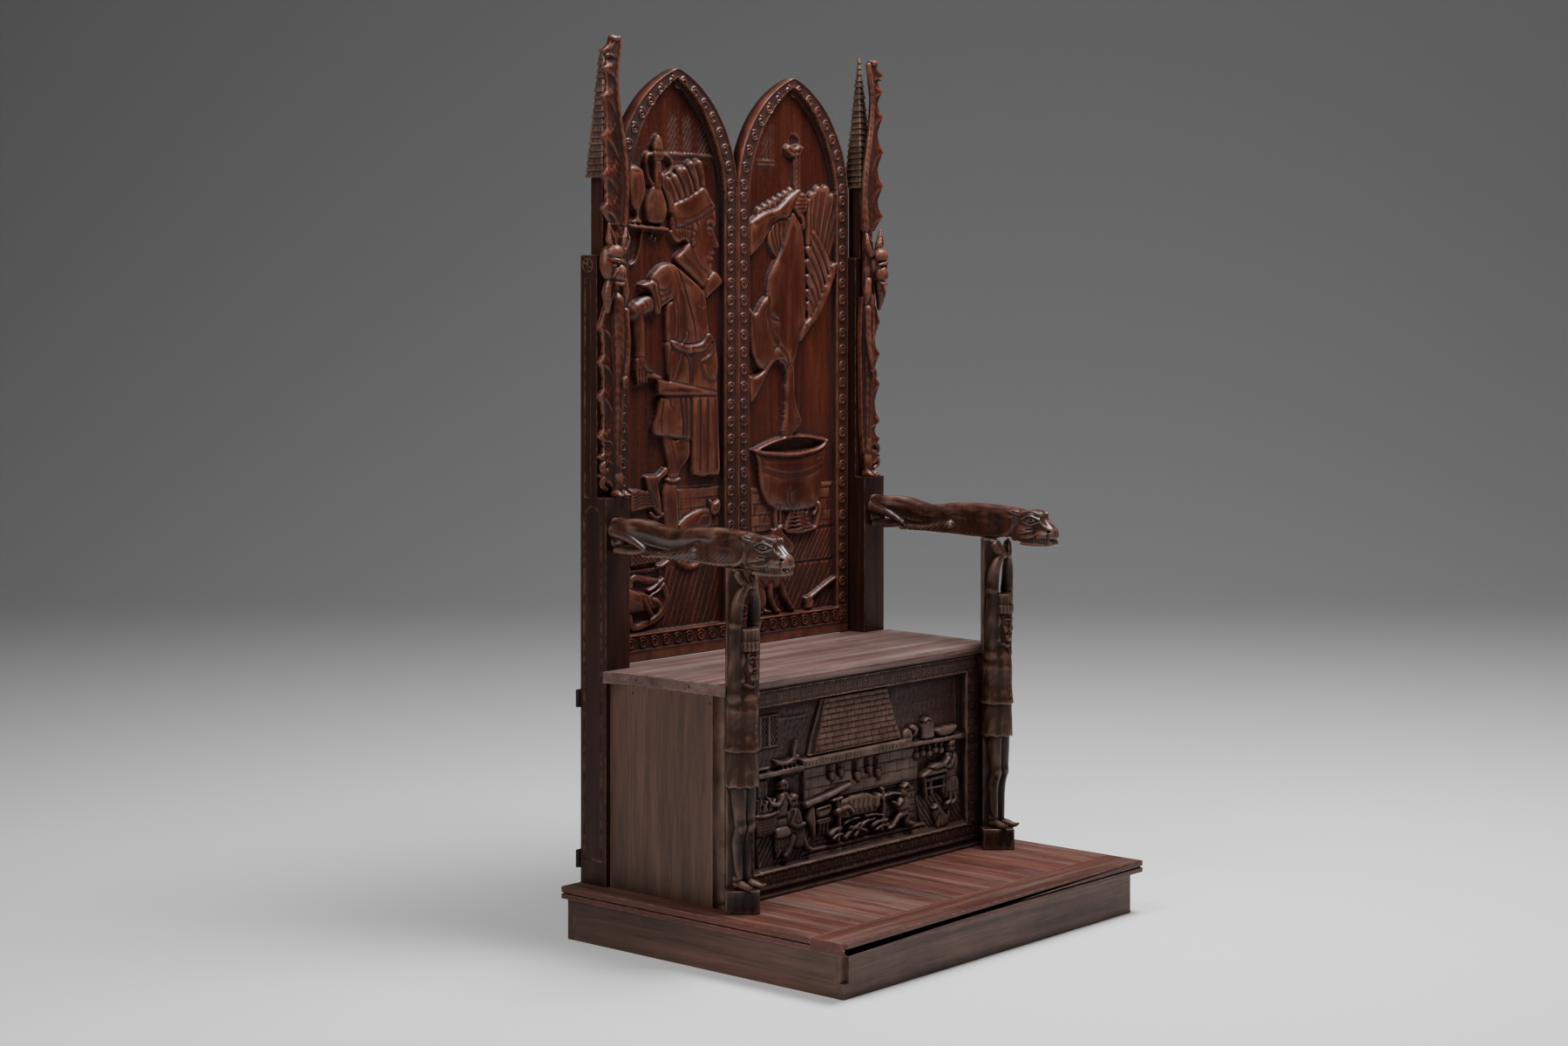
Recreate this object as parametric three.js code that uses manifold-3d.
// A carved oak throne: stepped platform, seat chest with a rear door, two lancet back panels in
// relief, stepped side posts with spires and winged grotesques, and armrest beasts on standing men.
// Millimetres, +Z up, the front faces -Y. Drawn from the middle of the platform's skirt, then
// moved so that the origin is under the middle of the overall depth.

import * as THREE from 'three';
import { mergeVertices } from 'three/addons/utils/BufferGeometryUtils.js';
import Module from 'manifold-3d';

const wasm = await Module();
wasm.setup();

// ---- Driving dimensions -------------------------------------------------------------------------

const GAP = 0.4; // clearance left between pieces that touch
const CENTRING = 8.6; // how far back the whole piece is moved to centre its depth

const PLATFORM = { width: 1020, depth: 785, skirtTop: 92, top: 119, overhang: 20, board: 20 };
const LIP = { grooveLow: 103, grooveHigh: 106.5, grooveDepth: 6 };
const FRONT_BOARD_DEPTH = 92;
const PLANK_JOINTS = [-360, -105, 150, 405];

const CHEST = { left: -467, right: 467, front: -32, board: 18, frontBoard: 34, top: 565 };
const SEAT = { thickness: 25, top: 590, front: -36, joint: 243, stripWidth: 14, flare: 22 };

const POST = { outer: 479, width: 74, front: 306, back: 384, ledge: 965, middleFront: 334 };
const POST_STEP = 1495; // where the middle stage ends and the thin stage begins
const THIN = { half: 18, centreX: 442, centreY: 353 };
const SPIRE = { base: 1665, tip: 1984, half: 27, tipHalf: 3.2, courses: 22 };
const BROKEN_TIP = 1948; // height at which the left spire is broken off

const PANEL = { width: 400.5, centre: 1.5, front: 353, back: 383, spring: 1640, apex: 1920 };
const PANEL_BORDER = 42;
const PANEL_RECESS = 19;
const PANEL_FIELD_BOTTOM = 651;
const RIDGE = 3; // width of the fine ridges that edge the borders

const ARM = {
  left: { x: -447, manX: -446, manY: -62, tip: -197 },
  right: { x: 443, manX: 429, manY: -74, tip: -233 },
};
const MAN = { block: 73, blockTop: 167, handTop: 838 };
const BEAST = { half: 22, rear: 305.5, shoulder: -10 };

const DOOR = { thickness: 8, bottom: 124, top: 562, inset: 12 };
const HINGE = { radius: 5.5, leaf: 2, height: 38, knuckles: 3, heights: [153, 504] };

// ---- Materials ----------------------------------------------------------------------------------

function wood(color, roughness) {
  return new THREE.MeshStandardMaterial({ color, roughness, metalness: 0 });
}

const CARVED = wood(0x5a3024, 0.42);
const POST_WOOD = wood(0x4a2a20, 0.5);
const PANEL_FRONT = wood(0x4f3427, 0.55);
const SIDE_WOOD = wood(0x6b5142, 0.6);
const SEAT_WOOD = wood(0x7d5c55, 0.5);
const TREAD_WOOD = wood(0x74382c, 0.6);
const IRON = new THREE.MeshStandardMaterial({ color: 0x2b2826, roughness: 0.6, metalness: 0.8 });

// ---- Solid helpers ------------------------------------------------------------------------------

function solid(geometry) {
  const bare = geometry.index ? geometry.toNonIndexed() : geometry.clone();
  bare.deleteAttribute('normal');
  bare.deleteAttribute('uv');
  const merged = mergeVertices(bare, 1e-3);
  return new wasm.Manifold(new wasm.Mesh({
    numProp: 3,
    vertProperties: new Float32Array(merged.attributes.position.array),
    triVerts: new Uint32Array(merged.index.array),
  }));
}

function geometryOf(manifold) {
  const mesh = manifold.getMesh();
  const geometry = new THREE.BufferGeometry();
  geometry.setAttribute('position', new THREE.BufferAttribute(new Float32Array(mesh.vertProperties), 3));
  geometry.setIndex(new THREE.BufferAttribute(new Uint32Array(mesh.triVerts), 1));
  geometry.computeVertexNormals();
  return geometry;
}

function union(solids) {
  return solids.reduce((sum, next) => sum.add(next));
}

function box(x0, x1, y0, y1, z0, z1) {
  const geometry = new THREE.BoxGeometry(x1 - x0, y1 - y0, z1 - z0);
  geometry.translate((x0 + x1) / 2, (y0 + y1) / 2, (z0 + z1) / 2);
  return solid(geometry);
}

function shapeOf(points) {
  return new THREE.Shape(points.map(([u, v]) => new THREE.Vector2(u, v)));
}

// A plate whose outline is drawn in X and Z, from depth y0 (front) to y1 (back).
function plate(points, y0, y1, bevel = 0) {
  const geometry = new THREE.ExtrudeGeometry(shapeOf(points), {
    depth: y1 - y0 - 2 * bevel,
    bevelEnabled: bevel > 0,
    bevelThickness: bevel,
    bevelSize: bevel * 0.6,
    bevelOffset: -bevel * 0.6,
    bevelSegments: 1,
  });
  geometry.translate(0, 0, bevel);
  geometry.rotateX(Math.PI / 2);
  geometry.translate(0, y1, 0);
  return solid(geometry);
}

// A pillow-edged slab whose outline is drawn as (forward, Z), forward being -Y, centred on x.
function slab(points, x, half, round) {
  const geometry = new THREE.ExtrudeGeometry(shapeOf(points), {
    depth: 2 * (half - round),
    bevelEnabled: true,
    bevelThickness: round,
    bevelSize: round * 0.7,
    bevelOffset: -round * 0.7,
    bevelSegments: 1,
  });
  geometry.translate(0, 0, round - half);
  geometry.rotateX(Math.PI / 2);
  geometry.rotateZ(-Math.PI / 2);
  geometry.translate(x, 0, 0);
  return solid(geometry);
}

function ball(x, y, z, rx, ry, rz, around = 6, down = 4) {
  const geometry = new THREE.SphereGeometry(1, around, down);
  geometry.rotateX(Math.PI / 2);
  geometry.scale(rx, ry, rz);
  geometry.translate(x, y, z);
  return solid(geometry);
}

// A tapered round limb from point a to point b, with its radius at each end.
function limb(a, b, ra, rb, sides = 7) {
  const from = new THREE.Vector3(...a);
  const to = new THREE.Vector3(...b);
  const axis = to.clone().sub(from);
  const geometry = new THREE.CylinderGeometry(rb, ra, axis.length(), sides);
  geometry.applyQuaternion(new THREE.Quaternion().setFromUnitVectors(
    new THREE.Vector3(0, 1, 0), axis.clone().normalize()));
  const middle = from.add(to).multiplyScalar(0.5);
  geometry.translate(middle.x, middle.y, middle.z);
  return solid(geometry);
}

function chain(points, sides = 5) {
  const pieces = [];
  for (let i = 1; i < points.length; i += 1) {
    const [a, b] = [points[i - 1], points[i]];
    pieces.push(limb(a.slice(0, 3), b.slice(0, 3), a[3], b[3], sides));
  }
  return union(pieces);
}

// Half the width of a lancet at height z, for a lancet of the given half width, spring and apex.
function lancetHalf(z, half, spring, apex) {
  if (z <= spring) return half;
  const rise = apex - spring;
  const radius = (rise * rise + half * half) / (2 * half);
  return Math.max(0, Math.sqrt(radius * radius - (z - spring) ** 2) - (radius - half));
}

function lancet(centre, half, bottom, spring, apex, steps = 8) {
  const right = [];
  for (let i = 0; i < steps; i += 1) {
    const z = spring + (apex - spring) * (1 - (1 - i / steps) ** 1.35);
    right.push([centre + lancetHalf(z, half, spring, apex), z]);
  }
  const left = right.map(([x, z]) => [2 * centre - x, z]).reverse();
  return [[centre - half, bottom], [centre + half, bottom], ...right, [centre, apex], ...left];
}

// A strip of constant half width along a line of points, as an outline in X and Z.
function strip(points, half) {
  const [low, high] = [[], []];
  points.forEach(([x, z], i) => {
    const [px, pz] = points[Math.max(0, i - 1)];
    const [nx, nz] = points[Math.min(points.length - 1, i + 1)];
    const length = Math.hypot(nx - px, nz - pz);
    const [sx, sz] = [(half * (nz - pz)) / length, (-half * (nx - px)) / length];
    low.push([x + sx, z + sz]);
    high.unshift([x - sx, z - sz]);
  });
  return [...low, ...high];
}

function oval(x, z, rx, rz, sides = 8) {
  const points = [];
  for (let i = 0; i < sides; i += 1) {
    const angle = (2 * Math.PI * (i + 0.5)) / sides;
    points.push([x + rx * Math.cos(angle), z + rz * Math.sin(angle)]);
  }
  return points;
}

// ---- Platform -----------------------------------------------------------------------------------

function lipGroove(x0, x1, y0, y1) {
  return box(x0, x1, y0, y1, LIP.grooveLow, LIP.grooveHigh);
}

function platform() {
  const { width, depth, skirtTop, top, overhang, board } = PLATFORM;
  const [hx, hy] = [width / 2, depth / 2];
  const [edgeX, edgeY] = [hx + overhang, hy + overhang];
  const joint = -edgeY + FRONT_BOARD_DEPTH;
  const cornerNotch = box(-hx - 1, -hx + 18, -hy - 1, -hy + 9, 32, skirtTop + 1);
  const frontBoard = box(-edgeX, edgeX, -edgeY, joint - GAP, skirtTop + GAP, top)
    .subtract(lipGroove(-edgeX + 1, edgeX + 1, -edgeY - 1, -edgeY + LIP.grooveDepth));
  const pieces = {
    platform_skirt_front: [box(-hx, hx, -hy, -hy + board, 0, skirtTop).subtract(cornerNotch), SIDE_WOOD],
    platform_skirt_back: [box(-hx, hx, hy - board, hy, 0, skirtTop), SIDE_WOOD],
    platform_skirt_left: [box(-hx, -hx + board, -hy + board + GAP, hy - board - GAP, 0, skirtTop), SIDE_WOOD],
    platform_skirt_right: [box(hx - board, hx, -hy + board + GAP, hy - board - GAP, 0, skirtTop), SIDE_WOOD],
    platform_front_board: [frontBoard, TREAD_WOOD],
  };
  const edges = [-edgeX, ...PLANK_JOINTS, edgeX];
  for (let i = 0; i + 1 < edges.length; i += 1) {
    const [x0, x1] = [edges[i] + GAP / 2, edges[i + 1] - GAP / 2];
    let plank = box(x0, x1, joint, hy, skirtTop + GAP, top);
    const side = LIP.grooveDepth;
    if (i === 0) plank = plank.subtract(lipGroove(x0 - 1, x0 + side, joint - 1, hy + 1));
    if (i + 2 === edges.length) plank = plank.subtract(lipGroove(x1 - side, x1 + 1, joint - 1, hy + 1));
    pieces[`platform_plank_${i + 1}`] = [plank, TREAD_WOOD];
  }
  return pieces;
}

// ---- Seat chest ---------------------------------------------------------------------------------

function seat() {
  const { thickness, top, front, joint, stripWidth, flare } = SEAT;
  const bottom = top - thickness;
  const [left, right] = [CHEST.left, CHEST.right];
  const rearEnd = POST.front - GAP;
  const board = (points) => {
    const geometry = new THREE.ExtrudeGeometry(shapeOf(points), { depth: thickness, bevelEnabled: false });
    geometry.translate(0, 0, bottom);
    return solid(geometry);
  };
  const noseRadius = thickness / 2;
  const flatFront = front + noseRadius;
  const mainLeft = left + stripWidth + GAP;
  const nose = limb([mainLeft, flatFront, top - noseRadius], [right, flatFront, top - noseRadius],
    noseRadius, noseRadius, 12);
  const main = board([[mainLeft, flatFront], [right, flatFront], [right + flare, joint - GAP],
    [mainLeft, joint - GAP]]).add(nose);
  const rear = board([[left, joint], [right + flare, joint], [right + flare + 2, rearEnd],
    [left - flare, rearEnd]]);
  const behind = PANEL.front - GAP;
  const innerHalf = POST.outer - POST.width - GAP;
  const tongue = board([[-innerHalf, rearEnd - 1], [innerHalf, rearEnd - 1], [innerHalf, behind],
    [-innerHalf, behind]]);
  const strip = box(left, left + stripWidth, front + 2, joint - GAP, bottom, top - 0.5);
  return {
    seat_board: [main, SEAT_WOOD],
    seat_rear_board: [rear.add(tongue), SEAT_WOOD],
    seat_end_strip: [strip, SEAT_WOOD],
  };
}

function chestSides() {
  const { left, right, board, front, frontBoard } = CHEST;
  const base = PLATFORM.top + GAP;
  const top = SEAT.top - SEAT.thickness - GAP;
  const [y0, y1] = [front + frontBoard + GAP, POST.front - GAP];
  return {
    chest_side_left: [box(left, left + board, y0, y1, base, top), SIDE_WOOD],
    chest_side_right: [box(right - board, right, y0, y1, base, top), SIDE_WOOD],
  };
}

const SCENE = { left: -370, right: 370, bottom: 178, top: 527, recess: 22 };

// Raised pieces of the kitchen scene: an outline and how far it stands off the field.
function kitchenScene() {
  const shapes = [];
  const add = (points, height) => shapes.push([points, height]);
  const rect = (x0, x1, z0, z1, height) => add([[x0, z0], [x1, z0], [x1, z1], [x0, z1]], height);
  add([[-187, 402], [131, 402], [91, 522], [-144, 522]], 9); // brick hood
  rect(-192, 190, 302, 377, 6); // stone wall under the mantel
  rect(-208, 172, 378, 399, 18); // mantel
  rect(172, 366, 377, 388, 18); // right shelf
  rect(-366, -212, 372, 388, 18); // left shelf
  rect(-338, -276, 436, 508, 4); // window frame
  add([[-298, 392], [-232, 392], [-222, 412], [-300, 404]], 12); // dish on the left shelf
  add(oval(-236, 424, 10, 16, 6), 10); // cat sitting in it
  add(oval(160, 406, 20, 12, 6), 12); // small jugs
  add([[208, 389], [250, 389], [252, 428], [238, 437], [216, 434]], 16); // jar
  add([[278, 389], [328, 389], [340, 410], [264, 410]], 16); // bowl
  for (const x of [-105, -70, -15, 25, 62]) add(oval(x, 352, 9, 20, 6), 9); // hanging pans
  for (const x of [203, 228, 252, 277]) add(oval(x, 362, 8, 12, 6), 9);
  add([[-362, 262], [-350, 250], [-308, 250], [-298, 262], [-294, 298], [-366, 298]], 18); // basket
  add(strip([[-195, 297], [-55, 321]], 6), 16); // spit beam
  rect(-365, 365, 179, 191, 5); // floor edge
  // carrying woman and kneeling man on the left
  add([[-300, 214], [-268, 214], [-262, 262], [-272, 312], [-262, 332], [-286, 344], [-298, 320]], 17);
  add(oval(-279, 356, 10, 13, 6), 18);
  add(strip([[-290, 322], [-318, 318], [-334, 334]], 6), 15);
  add([[-262, 214], [-236, 206], [-198, 222], [-212, 262], [-226, 298], [-250, 292], [-258, 262]], 17);
  add(oval(-236, 310, 11, 13, 6), 18);
  // stool, roast on its trestles and the crouching cooks
  add([[-160, 240], [-118, 240], [-112, 290], [-160, 292]], 14);
  add([[-100, 262], [-70, 292], [10, 296], [62, 290], [66, 262], [34, 246], [-60, 244]], 20);
  add(strip([[-96, 296], [-84, 232], [-96, 206]], 6), 15);
  add(strip([[64, 296], [58, 250], [66, 210]], 6), 15);
  add([[-120, 208], [-40, 204], [14, 222], [0, 244], [-60, 232], [-112, 226]], 12);
  add([[28, 212], [96, 214], [84, 232], [40, 236]], 12);
  add([[92, 202], [176, 200], [168, 222], [150, 262], [128, 268], [116, 236]], 17);
  add(oval(150, 278, 11, 13, 6), 18);
  // table, carver and dog on the right
  add([[204, 302], [306, 306], [296, 322], [222, 326]], 20);
  add([[212, 254], [224, 254], [236, 290], [290, 290], [292, 252], [304, 252], [304, 304], [212, 302]], 15);
  add([[300, 232], [344, 230], [348, 300], [352, 338], [318, 344], [300, 310]], 17);
  add(oval(326, 356, 12, 14, 6), 18);
  add(strip([[318, 330], [268, 312]], 6), 19);
  add([[252, 182], [302, 182], [304, 208], [276, 236], [252, 236]], 16);
  return shapes;
}

function carvedChestFront() {
  const { left, right, front, frontBoard } = CHEST;
  const top = SEAT.top - SEAT.thickness - 3;
  const field = front + SCENE.recess;
  const board = box(left, right, front, front + frontBoard, PLATFORM.top + GAP, top);
  const recess = box(SCENE.left, SCENE.right, front - 5, field, SCENE.bottom, SCENE.top);
  const pieces = [board.subtract(recess)];
  for (const [points, height] of kitchenScene()) {
    pieces.push(plate(points, field - height, field + 2));
  }
  const ridge = (x0, x1, z0, z1) => pieces.push(box(x0, x1, front - 1.5, front + 2, z0, z1));
  ridge(SCENE.left - 40, SCENE.right + 40, SCENE.top, SCENE.top + RIDGE);
  ridge(SCENE.left, SCENE.right, SCENE.bottom - RIDGE, SCENE.bottom);
  ridge(SCENE.left - 40, SCENE.right + 40, 143, 143 + RIDGE);
  return { chest_front_panel: [union(pieces), PANEL_FRONT] };
}

// ---- Lancet back panels -------------------------------------------------------------------------

function panelBoard(centre) {
  const half = PANEL.width / 2;
  const bottom = SEAT.top + GAP;
  const board = plate(lancet(centre, half, bottom, PANEL.spring, PANEL.apex), PANEL.front, PANEL.back);
  const inner = half - PANEL_BORDER;
  const innerApex = PANEL.apex - PANEL_BORDER * 1.08;
  const recess = plate(lancet(centre, inner, PANEL_FIELD_BOTTOM, PANEL.spring, innerApex),
    PANEL.front - 10, PANEL.front + PANEL_RECESS);
  const ridges = [half - 2, inner + RIDGE].map((outer) => {
    const apex = PANEL.apex - (half - outer) * 1.08;
    const low = outer > inner + 10 ? 612 : PANEL_FIELD_BOTTOM - RIDGE;
    const ring = plate(lancet(centre, outer, low, PANEL.spring, apex), PANEL.front - 1.5, PANEL.front + 1);
    return ring.subtract(plate(
      lancet(centre, outer - RIDGE, low + RIDGE, PANEL.spring, apex - RIDGE * 1.08),
      PANEL.front - 5, PANEL.front + 5));
  });
  return union([board.subtract(recess), ...ridges]);
}

function withRelief(board, shapes) {
  const field = PANEL.front + PANEL_RECESS;
  const raised = shapes.map(([points, height]) =>
    plate(points, field - height, field + 6, height < 17 ? 0 : 5));
  return union([board, ...raised]);
}

// The cook with his knife, below a shelf with a goblet and a ewer.
function cookRelief() {
  const shapes = [];
  const add = (points, height) => shapes.push([points, height]);
  add([[-244, 1712], [-48, 1712], [-52, 1725], [-244, 1725]], 5); // window sill
  for (const x of [-206, -158, -108]) add([[x - 4, 1721], [x + 4, 1721], [x + 4, 1800], [x - 4, 1806]], 3);
  add([[-354, 1549], [-226, 1549], [-226, 1562], [-354, 1562]], 18); // shelf
  add([[-345, 1564], [-308, 1564], [-318, 1590], [-302, 1636], [-306, 1686], [-348, 1686], [-350, 1636],
    [-332, 1590]], 15); // goblet
  add(oval(-268, 1606, 36, 40, 10), 18); // ewer
  add([[-282, 1636], [-252, 1636], [-250, 1700], [-240, 1722], [-262, 1766], [-286, 1722], [-280, 1700]], 15);
  add(strip([[-286, 1720], [-304, 1712], [-309, 1696], [-302, 1672], [-284, 1652]], 4.5), 12);
  add(strip([[-244, 1722], [-226, 1716], [-219, 1703], [-226, 1688], [-246, 1676]], 4.5), 12);
  add(strip([[-316, 1548], [-324, 1512], [-332, 1484], [-346, 1478]], 4.5), 10); // hook
  // pleated cap, head, hair and neckerchief
  add([[-212, 1608], [-112, 1652], [-120, 1704], [-152, 1717], [-196, 1690], [-226, 1672], [-252, 1672]], 18);
  add([[-215, 1611], [-186, 1562], [-138, 1564], [-74, 1607], [-108, 1656]], 20);
  add([[-184, 1560], [-76, 1602], [-52, 1560], [-44, 1524], [-52, 1470], [-96, 1452], [-140, 1480]], 18);
  add([[-231, 1544], [-186, 1560], [-146, 1546], [-196, 1524]], 12);
  add([[-202, 1494], [-150, 1530], [-104, 1446], [-96, 1404], [-136, 1424], [-186, 1470]], 19);
  // tunic, arm, hand and knife
  add([[-278, 1444], [-244, 1476], [-200, 1482], [-150, 1430], [-104, 1396], [-92, 1320], [-86, 1290],
    [-206, 1296], [-214, 1380], [-262, 1398]], 19);
  add([[-352, 1382], [-322, 1416], [-276, 1436], [-250, 1396], [-262, 1362], [-324, 1346], [-352, 1358]], 19);
  add([[-349, 1372], [-318, 1354], [-308, 1246], [-346, 1244]], 16);
  add([[-350, 1250], [-306, 1250], [-292, 1222], [-336, 1208]], 16);
  add([[-300, 1234], [-258, 1222], [-62, 1184], [-62, 1176], [-262, 1182], [-266, 1206], [-296, 1212]], 19);
  add(strip([[-210, 1304], [-150, 1290], [-84, 1308]], 9), 20); // belt
  add([[-150, 1292], [-74, 1300], [-58, 1240], [-54, 1150], [-50, 996], [-90, 992], [-154, 998]], 18); // skirt
  add([[-217, 1296], [-148, 1298], [-150, 1074], [-276, 1102], [-258, 1180], [-226, 1220]], 17);
  add([[-240, 1088], [-162, 1082], [-164, 1044], [-196, 990], [-228, 990]], 15); // thigh
  add([[-224, 996], [-195, 996], [-188, 874], [-236, 873]], 14); // standing leg
  add([[-306, 1004], [-236, 1018], [-232, 1000], [-258, 984], [-246, 936], [-272, 934], [-292, 980]], 15);
  // cat by the wall, baskets and the hare's niche
  add([[-180, 868], [-92, 868], [-52, 900], [-48, 938], [-66, 930], [-86, 940], [-92, 914], [-142, 912]], 12);
  add([[-354, 924], [-262, 930], [-268, 968], [-354, 974]], 12);
  add([[-353, 796], [-262, 800], [-258, 842], [-353, 850]], 12);
  add([[-355, 662], [-262, 666], [-232, 700], [-226, 740], [-248, 768], [-355, 776]], 7);
  add([[-352, 700], [-290, 690], [-250, 716], [-262, 738], [-352, 748]], 15);
  return shapes;
}

// The hung goose above the cauldron.
function gooseRelief() {
  const shapes = [];
  const add = (points, height) => shapes.push([points, height]);
  add([[92, 1714], [142, 1714], [142, 1724], [92, 1724]], 4); // window sill
  add(strip([[222, 1752], [224, 1652]], 12), 12); // rope
  add(oval(206, 1757, 26, 9, 8), 14);
  add([[50, 1584], [150, 1616], [228, 1656], [232, 1632], [206, 1592], [166, 1586], [100, 1530],
    [50, 1504]], 19); // leg
  add(oval(232, 1620, 28, 20, 8), 17); // rope coil
  add([[250, 1638], [296, 1656], [336, 1654], [358, 1630], [361, 1500], [330, 1474], [270, 1500]], 10); // fan
  add([[72, 1598], [92, 1618], [180, 1650], [196, 1634], [120, 1600]], 9);
  add([[104, 1540], [166, 1584], [196, 1574], [150, 1500], [132, 1500]], 8);
  add([[246, 1530], [276, 1552], [352, 1474], [350, 1440], [300, 1360], [252, 1344]], 15); // wing
  add(strip([[352, 1468], [318, 1394], [276, 1346], [232, 1316]], 12), 19);
  add([[204, 1598], [238, 1582], [252, 1500], [256, 1340], [236, 1306], [196, 1210], [180, 1236],
    [152, 1252], [122, 1340], [116, 1412], [140, 1480]], 19); // body
  add([[52, 1380], [108, 1398], [116, 1330], [150, 1284], [176, 1250], [150, 1252], [104, 1206],
    [62, 1160], [50, 1186]], 16); // near wing
  add([[176, 1250], [210, 1250], [216, 1150], [238, 1108], [214, 1084], [194, 1058], [168, 1064],
    [176, 1110]], 15); // neck and head
  add([[76, 1044], [200, 1066], [322, 1056], [314, 1000], [312, 960], [296, 900], [140, 896], [104, 926],
    [90, 984]], 17); // cauldron
  add(strip([[66, 1040], [120, 1030], [200, 1026], [280, 1032], [324, 1056]], 6), 20);
  for (const x of [128, 300]) add([[x, 905], [x + 14, 905], [x + 10, 850], [x + 2, 850]], 11); // feet
  add([[166, 850], [186, 890], [232, 898], [276, 880], [298, 896], [292, 844], [230, 838]], 13); // fire
  add([[60, 655], [200, 655], [204, 676], [190, 720], [176, 780], [176, 826], [130, 862], [108, 820],
    [70, 790], [50, 720]], 15); // dog
  add([[244, 682], [256, 688], [352, 724], [354, 708], [268, 672], [268, 656], [246, 656]], 12); // axe
  return shapes;
}

function backPanels() {
  const half = PANEL.width / 2 + GAP;
  return {
    back_panel_left: [withRelief(panelBoard(PANEL.centre - half), cookRelief()), CARVED],
    back_panel_right: [withRelief(panelBoard(PANEL.centre + half), gooseRelief()), CARVED],
  };
}

// ---- Side posts and spires ----------------------------------------------------------------------

// The incised lancet line on the outer face of a post.
function incisedLancet(side) {
  const [centreY, half, bottom, spring, apex] = [347, 26, 174, 912, 948];
  const ring = (grow) => {
    const geometry = new THREE.ExtrudeGeometry(
      shapeOf(lancet(centreY, half + grow, bottom - grow, spring, apex + grow, 4)),
      { depth: 4, bevelEnabled: false });
    geometry.rotateX(Math.PI / 2);
    geometry.rotateZ(Math.PI / 2);
    geometry.translate(side * POST.outer - 2, 0, 0);
    return solid(geometry);
  };
  return ring(1.5).subtract(ring(-1.5));
}

function post(side) {
  const across = (a, b) => (side < 0 ? [-b, -a] : [a, b]);
  const [x0, x1] = across(POST.outer - POST.width, POST.outer);
  const [t0, t1] = across(THIN.centreX - THIN.half, THIN.centreX + THIN.half);
  const lower = box(x0, x1, POST.front, POST.back, PLATFORM.top + GAP, POST.ledge);
  const middle = box(x0, x1, POST.middleFront, POST.back, POST.ledge - 1, POST_STEP);
  const thin = box(t0, t1, THIN.centreY - THIN.half, THIN.centreY + THIN.half, POST_STEP - 1,
    SPIRE.base - GAP);
  const channel = box(side * (POST.outer + 1) - 3, side * (POST.outer + 1) + 3, 354, 372,
    POST.ledge, POST_STEP - 52);
  return union([lower, middle, thin]).subtract(incisedLancet(side)).subtract(channel);
}

function spire(side) {
  const profile = [[0, SPIRE.base]];
  const step = (SPIRE.tip - SPIRE.base) / SPIRE.courses;
  for (let i = 0; i < SPIRE.courses; i += 1) {
    const t = i / SPIRE.courses;
    const half = SPIRE.half + (SPIRE.tipHalf - SPIRE.half) * t;
    const z = SPIRE.base + i * step;
    profile.push([(half + 1.2) * Math.SQRT2, z], [(half - 1.4) * Math.SQRT2, z + step]);
  }
  profile.push([0, SPIRE.tip]);
  const geometry = new THREE.LatheGeometry(
    profile.map(([r, z]) => new THREE.Vector2(r, z)), 4, Math.PI / 4);
  geometry.rotateX(Math.PI / 2);
  geometry.translate(side * THIN.centreX, THIN.centreY, 0);
  const whole = solid(geometry);
  if (side > 0) return whole;
  const cut = box(-30, 30, -30, 30, 0, 100);
  return whole.subtract(cut.rotate([0, -24, 0]).translate([-THIN.centreX, THIN.centreY, BROKEN_TIP]));
}

// ---- Winged grotesques on the post ledges -------------------------------------------------------

const WING_TIPS = [1941, 1903, 1841, 1754, 1670, 1597, 1339, 1262, 1189, 1099, 1055, 1014];

// The scalloped outer edge: pointed tips with a hollow between each pair.
function wingOutline(tips, tipX, hollowX, inner) {
  const outer = [];
  tips.forEach((z, i) => {
    outer.push([tipX, z]);
    if (i + 1 < tips.length) {
      const gap = z - tips[i + 1];
      outer.push([hollowX, z - gap * 0.35], [hollowX, z - gap * 0.75]);
    }
  });
  return [...outer, ...inner];
}

function grotesque(side) {
  const at = (x) => side * x;
  const mirror = (points) => {
    const placed = points.map(([x, z]) => [at(x), z]);
    return side < 0 ? placed.reverse() : placed;
  };
  const back = POST.middleFront - GAP;
  const floor = POST.ledge + GAP;
  const blade = wingOutline(WING_TIPS.slice(0, 6), 483, 468,
    [[452, 1560], [412, 1566], [409, 1640], [418, 1720], [436, 1810], [443, 1880], [428, 1974], [456, 1976],
      [460, 1950]]);
  const cloak = wingOutline(WING_TIPS.slice(6), 483, 468,
    [[450, 990], [424, 986], [412, 1100], [408, 1300], [414, 1400], [456, 1402]]);
  const leaf = (x, z, lean) => {
    const geometry = new THREE.SphereGeometry(1, 6, 4);
    geometry.rotateX(Math.PI / 2);
    geometry.scale(9, 7, 28);
    geometry.rotateY(side * lean);
    geometry.translate(at(x), 310, z);
    return solid(geometry);
  };
  const body = [
    [at(434), 316, 1396, 22], [at(430), 312, 1300, 19], [at(430), 314, 1180, 15], [at(432), 316, 1060, 11],
    [at(430), 316, 1004, 8],
  ];
  return union([
    plate(mirror(blade), 308, 324.2, 3),
    plate(mirror(cloak), 318, back, 3),
    limb([at(434), 322, 1390], [at(436), 322, 1600], 12, 12, 6),
    chain(body),
    ball(at(434), 306, 1474, 27, 24, 46),
    ball(at(438), 286, 1458, 14, 12, 18),
    leaf(453, 1530, 0.42),
    leaf(414, 1526, -0.42),
    leaf(456, 1400, -0.3),
    leaf(414, 1410, 0.3),
    ...[-10, 10].map((dx) => ball(at(432 + dx), 312, floor + 8, 8, 17, 8)),
    limb([at(430), 318, floor + 6], [at(430), 316, 1010], 12, 9, 6),
  ]).intersect(box(-600, 600, 200, back, floor, 2100));
}

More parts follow.
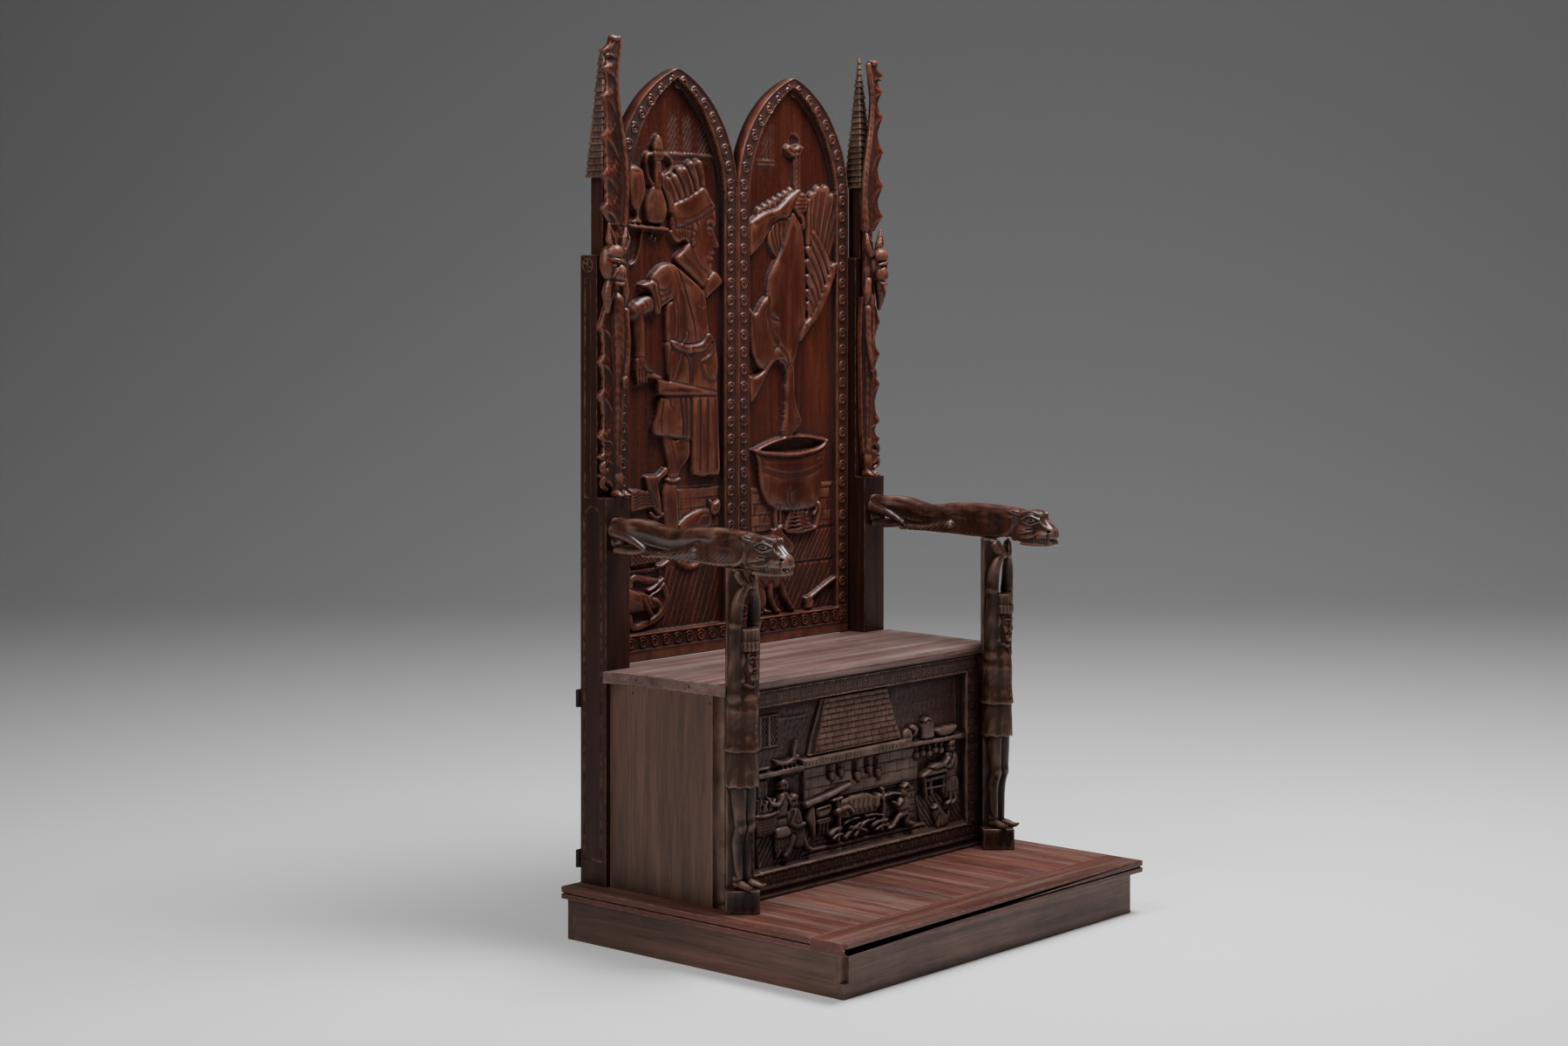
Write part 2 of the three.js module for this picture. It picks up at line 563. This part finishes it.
// ---- Armrest beasts -----------------------------------------------------------------------------

// Outlines are (forward, Z), forward measured from the origin towards the front.
function beast(arm) {
  const stretch = (-arm.tip - 95) / (197 - 95); // the head keeps its size, so only the neck moves
  const shift = -arm.tip - 197;
  const forward = (f) => (f <= BEAST.shoulder ? f : f + shift * Math.min(1, (f - BEAST.shoulder) / 100));
  const line = (points) => points.map(([f, z]) => [forward(f), z]);
  const rear = -BEAST.rear;
  const torso = slab(line([[rear, 856], [-250, 874], [-200, 866], [-140, 858], [-60, 846], [0, 840], [60, 842],
    [92, 848], [98, 902], [60, 911], [20, 915], [-20, 916], [-70, 910], [-120, 904], [-170, 914], [-230, 921],
    [-280, 919], [rear, 915]]), arm.x, BEAST.half, 12);
  const head = slab(line([[80, 840], [104, 833], [150, 827], [190, 834], [197, 846],
    [198, 867], [184, 886], [174, 906], [150, 911], [116, 906], [86, 905]]), arm.x, 24, 9);
  const legs = [-1, 1].flatMap((s) => {
    const x = arm.x + s * (BEAST.half - 4);
    const point = (f, z, r) => [x, -forward(f), z, r];
    return [
      chain([point(-278, 898, 15), point(-206, 858, 9)]),
      chain([point(-206, 855, 8), point(-292, 850, 7)]),
      chain([point(14, 872, 15), point(-70, 862, 11), point(-140, 850, 8), point(-212, 850, 7)]),
      ball(x, -forward(20), 880, 13, 30, 22),
    ];
  });
  const brow = [-1, 1].map((s) => ball(arm.x + s * 14, -forward(150), 900, 10, 20, 10));
  const keep = box(arm.x - 60, arm.x + 60, arm.tip - 20, BEAST.rear, MAN.handTop + GAP - 15, 960);
  return { body: union([torso, head, ...legs, ...brow]).intersect(keep), stretch };
}

// ---- Standing men under the armrests ------------------------------------------------------------

function man(arm) {
  const half = MAN.block / 2;
  const block = solid(new THREE.BoxGeometry(MAN.block, MAN.block, MAN.blockTop - PLATFORM.top - GAP)
    .rotateZ(Math.PI / 4).translate(0, 0, (MAN.blockTop + PLATFORM.top + GAP) / 2));
  const column = (z0, z1, top, bottom, y, sides = 6) => solid(
    new THREE.CylinderGeometry(top, bottom, z1 - z0, sides).rotateX(Math.PI / 2)
      .rotateZ(Math.PI / sides).translate(0, y, (z0 + z1) / 2));
  const wedge = solid(new THREE.BoxGeometry(36, 36, MAN.handTop - MAN.blockTop + 1)
    .rotateZ(Math.PI / 4).translate(0, 22, (MAN.handTop + MAN.blockTop - 1) / 2));
  const pieces = [
    block,
    wedge,
    column(378, 458, 33, 36, 0),
    column(452, 540, 33, 38, 0),
    column(536, 600, 20, 34, 0),
    column(596, 622, 13, 20, -12, 6),
    ball(0, -22, 640, 17, 18, 36),
    column(668, 712, 18, 19, -20),
    ball(0, -8, 622, 21, 18, 24),
  ];
  for (const s of [-1, 1]) {
    pieces.push(chain([
      [s * 26, -4, 566, 14], [s * 29, -6, 640, 11], [s * 29, -8, 730, 10], [s * 12, -20, 790, 8],
      [s * 10, -24, 806, 8],
    ]));
    pieces.push(chain([[s * 6, -26, 804, 9], [s * 22, -12, 826, 10]]));
    pieces.push(chain([[s * 15, -2, 384, 17], [s * 14, -6, 300, 12], [s * 13, -4, 190, 7]]));
    pieces.push(ball(s * 17, -18, MAN.blockTop + 8, 9, 21, 9));
  }
  const clip = box(-70, 70, -90, CHEST.front - GAP - arm.manY, PLATFORM.top + GAP, SEAT.top - 30)
    .add(box(-70, 70, -90, SEAT.front - GAP - 4 - arm.manY, SEAT.top - 32, SEAT.top + 2))
    .add(box(-70, 70, -90, 70, SEAT.top + GAP, MAN.handTop - GAP));
  return union(pieces).intersect(clip).translate([arm.manX, arm.manY, 0]);
}

// ---- Rear door and its hinges -------------------------------------------------------------------

const HINGE_X = -POST.outer - 2;
const HINGE_Y = POST.back + 0.3 + HINGE.radius;

function knuckle(z0, z1, clearance = 0) {
  const radius = HINGE.radius + clearance;
  return limb([HINGE_X, HINGE_Y, z0], [HINGE_X, HINGE_Y, z1], radius, radius, 12);
}

function hinge(z) {
  const step = HINGE.height / HINGE.knuckles;
  const part = (i) => knuckle(z + i * step + 0.2, z + (i + 1) * step - 0.2);
  const inner = box(HINGE_X, -POST.outer + 10, POST.back + 0.3, POST.back + 0.3 + HINGE.leaf, z, z + HINGE.height);
  const swing = knuckle(z + step - 0.2, z + 2 * step + 0.2, GAP);
  const fixed = union([part(0), part(2), inner.subtract(swing)]);
  const outerY = HINGE_Y + HINGE.radius - HINGE.leaf;
  const clear = knuckle(z - 1, z + step + 0.2, GAP)
    .add(knuckle(z + 2 * step - 0.2, z + HINGE.height + 1, GAP));
  const plateBody = box(HINGE_X, -POST.outer + 42, outerY, outerY + HINGE.leaf, z, z + HINGE.height);
  return { fixed, moving: part(1).add(plateBody.subtract(clear)) };
}

function rearDoor() {
  const outerFace = HINGE_Y + HINGE.radius - HINGE.leaf - GAP;
  const reach = POST.outer - DOOR.inset;
  const door = box(-reach, reach, outerFace - DOOR.thickness, outerFace, DOOR.bottom, DOOR.top);
  const pieces = { chest_rear_door: [door, SIDE_WOOD] };
  HINGE.heights.forEach((z, i) => {
    const name = i === 0 ? 'lower' : 'upper';
    const { fixed, moving } = hinge(z);
    pieces[`hinge_${name}_post_leaf`] = [fixed, IRON];
    pieces[`hinge_${name}_door_leaf`] = [moving, IRON];
  });
  return pieces;
}

// ---- Assembly -----------------------------------------------------------------------------------

const throne = new THREE.Group();
throne.position.y = CENTRING;

function place(pieces) {
  for (const [name, [body, material]] of Object.entries(pieces)) {
    const mesh = new THREE.Mesh(geometryOf(body), material);
    mesh.name = name;
    throne.add(mesh);
  }
}

place(platform());
place(seat());
place(chestSides());
place(carvedChestFront());
place(backPanels());
for (const [name, side] of [['left', -1], ['right', 1]]) {
  place({
    [`post_${name}`]: [post(side), POST_WOOD],
    [`spire_${name}`]: [spire(side), POST_WOOD],
    [`grotesque_${name}`]: [grotesque(side), CARVED],
    [`arm_beast_${name}`]: [beast(ARM[name]).body, CARVED],
    [`arm_figure_${name}`]: [man(ARM[name]), CARVED],
  });
}
place(rearDoor());

export default throne;
